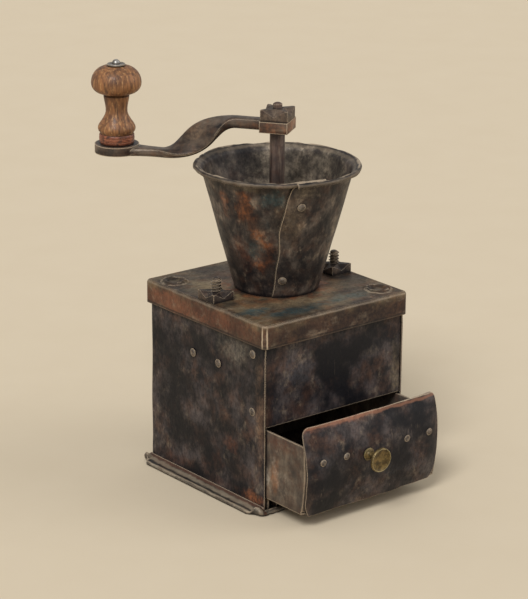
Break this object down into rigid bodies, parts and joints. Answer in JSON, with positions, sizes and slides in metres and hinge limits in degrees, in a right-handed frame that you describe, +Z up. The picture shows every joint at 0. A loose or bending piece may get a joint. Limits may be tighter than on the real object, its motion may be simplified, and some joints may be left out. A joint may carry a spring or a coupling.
{
  "type": "coffee mill",
  "caption": "Box coffee mill of riveted sheet iron with conical hopper, cast burrs, hand crank with turned wooden handle and pull-out drawer.",
  "frame": {"origin": "middle of the base on the surface that the mill stands on, below the shaft's axis", "axes": "+Z up along the shaft; -Y towards the front, where the drawer opens; +X to the right seen from the front"},
  "size_m": [0.1604, 0.2443, 0.2972],
  "materials": {
    "base_iron": "worn grey tinned sheet with brown stains",
    "body_iron": "blue-black japanned sheet iron with brown and rust patches",
    "lid_iron": "worn olive-brown sheet iron, rusted rim",
    "hopper_iron": "dark grey-brown sheet iron with orange rust",
    "tray_iron": "bare grey-brown sheet with rust",
    "rivet_iron": "worn rivet heads",
    "forged_iron": "dark hand-forged iron",
    "crank_iron": "dark grey-brown forged iron with bright edges",
    "shaft_iron": "dark brown turned iron",
    "burr_iron": "dark cast iron",
    "bright_steel": "bright worn steel",
    "red_ring": "dull red-brown ring",
    "turned_wood": "worn varnished hardwood",
    "pull_brass": "dull aged brass"
  },
  "bodies": {
    "housing": {"base_pan": "base_iron", "body_wrap": "body_iron", "front_panel": "body_iron", "corner_rivets": "rivet_iron", "drawer_runners": "tray_iron", "cross_bridge": "forged_iron", "bridge_rivets": "rivet_iron", "hold_down_bolts": "forged_iron", "lid": "lid_iron", "lid_nuts": "forged_iron", "hopper": "hopper_iron", "hopper_rivets": "rivet_iron", "burr_shell": "burr_iron", "shaft_guide": "burr_iron", "step_yoke": "forged_iron", "yoke_rivets": "rivet_iron", "lock_nut": "forged_iron"},
    "regulator": {"regulating_screw": "forged_iron"},
    "crank": {"shaft": "shaft_iron", "inner_burr": "burr_iron", "drive_pin": "rivet_iron", "crank_arm": "crank_iron", "crank_nut": "forged_iron", "handle_spindle": "bright_steel", "handle_washer": "bright_steel"},
    "handle": {"handle_ferrule": "red_ring", "handle_grip": "turned_wood"},
    "drawer": {"drawer_tray": "tray_iron", "drawer_front": "body_iron", "drawer_rivets": "rivet_iron", "pull_knob": "pull_brass", "pull_nut": "forged_iron"}
  },
  "joints": [
    {"name": "crank_turn", "type": "hinge", "parent": "housing", "child": "crank", "pos_m": [0, 0, 0.25], "axis": [0, 0, 1], "continuous": true},
    {"name": "handle_spin", "type": "hinge", "parent": "crank", "child": "handle", "pos_m": [-0.06883, 0.0983, 0.26], "axis": [0, 0, 1], "continuous": true},
    {"name": "drawer_slide", "type": "slide", "parent": "housing", "child": "drawer", "axis": [0, -1, 0], "range_m": [-0.039, 0.07]},
    {"name": "regulator_turn", "type": "hinge", "parent": "housing", "child": "regulator", "pos_m": [0, 0, 0.07], "axis": [0, 0, 1], "range_deg": [-180, 180]}
  ]
}
